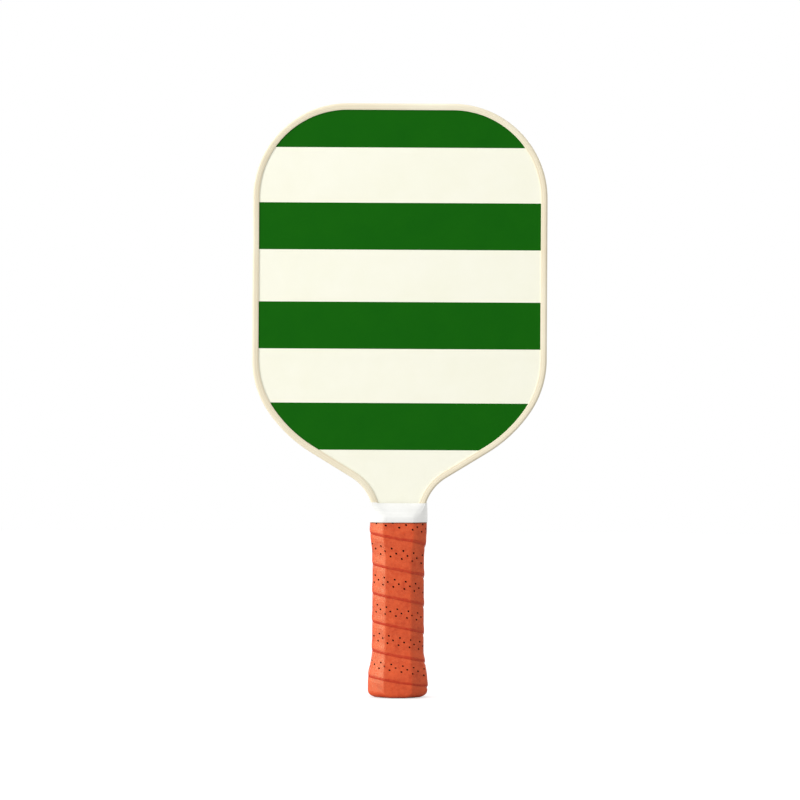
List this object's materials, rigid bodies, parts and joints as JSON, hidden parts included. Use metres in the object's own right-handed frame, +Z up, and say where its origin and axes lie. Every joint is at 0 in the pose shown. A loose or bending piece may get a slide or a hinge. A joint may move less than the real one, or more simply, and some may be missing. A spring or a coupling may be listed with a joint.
{
  "type": "pickleball paddle",
  "caption": "Pickleball paddle with a banded composite face, a moulded edge guard, a wound perforated grip and white throat tape.",
  "frame": {"origin": "centre of the butt's flat bottom, where the paddle stands", "axes": "+Z runs up the handle to the top of the head; the front face looks along -Y; +X is to the right seen from the front"},
  "size_m": [0.202, 0.034, 0.407],
  "materials": {
    "core_polymer": "extruded polypropylene honeycomb, matte",
    "adhesive": "clear amber adhesive film",
    "glass_fibre_sheet": "glass-fibre and resin sheet, satin",
    "cream_print": "cream printed film, satin",
    "green_print": "green printed film, satin",
    "sand_plastic": "moulded flexible plastic, matte, sand",
    "handle_plastic": "moulded plastic, matte, charcoal",
    "staple_steel": "zinc-plated steel wire",
    "grip_felt": "dark red needled felt",
    "grip_skin": "perforated orange polyurethane leather, satin",
    "throat_tape": "white vinyl finishing tape, satin"
  },
  "bodies": {
    "root": {"honeycomb_core": "core_polymer", "front_bond_film": "adhesive", "back_bond_film": "adhesive", "front_face_sheet": "glass_fibre_sheet", "back_face_sheet": "glass_fibre_sheet", "front_film_cream": "cream_print", "front_film_green": "green_print", "back_film_cream": "cream_print", "back_film_green": "green_print", "edge_guard": "sand_plastic", "edge_guard_tape": "adhesive", "front_pallet": "handle_plastic", "back_pallet": "handle_plastic", "front_pallet_tape": "adhesive", "back_pallet_tape": "adhesive", "butt_cap": "handle_plastic", "butt_cap_staples": "staple_steel", "butt_badge": "sand_plastic", "grip_adhesive_tape": "adhesive", "grip_cushion": "grip_felt", "grip_wrap": "grip_skin", "throat_tape": "throat_tape"}
  },
  "joints": []
}
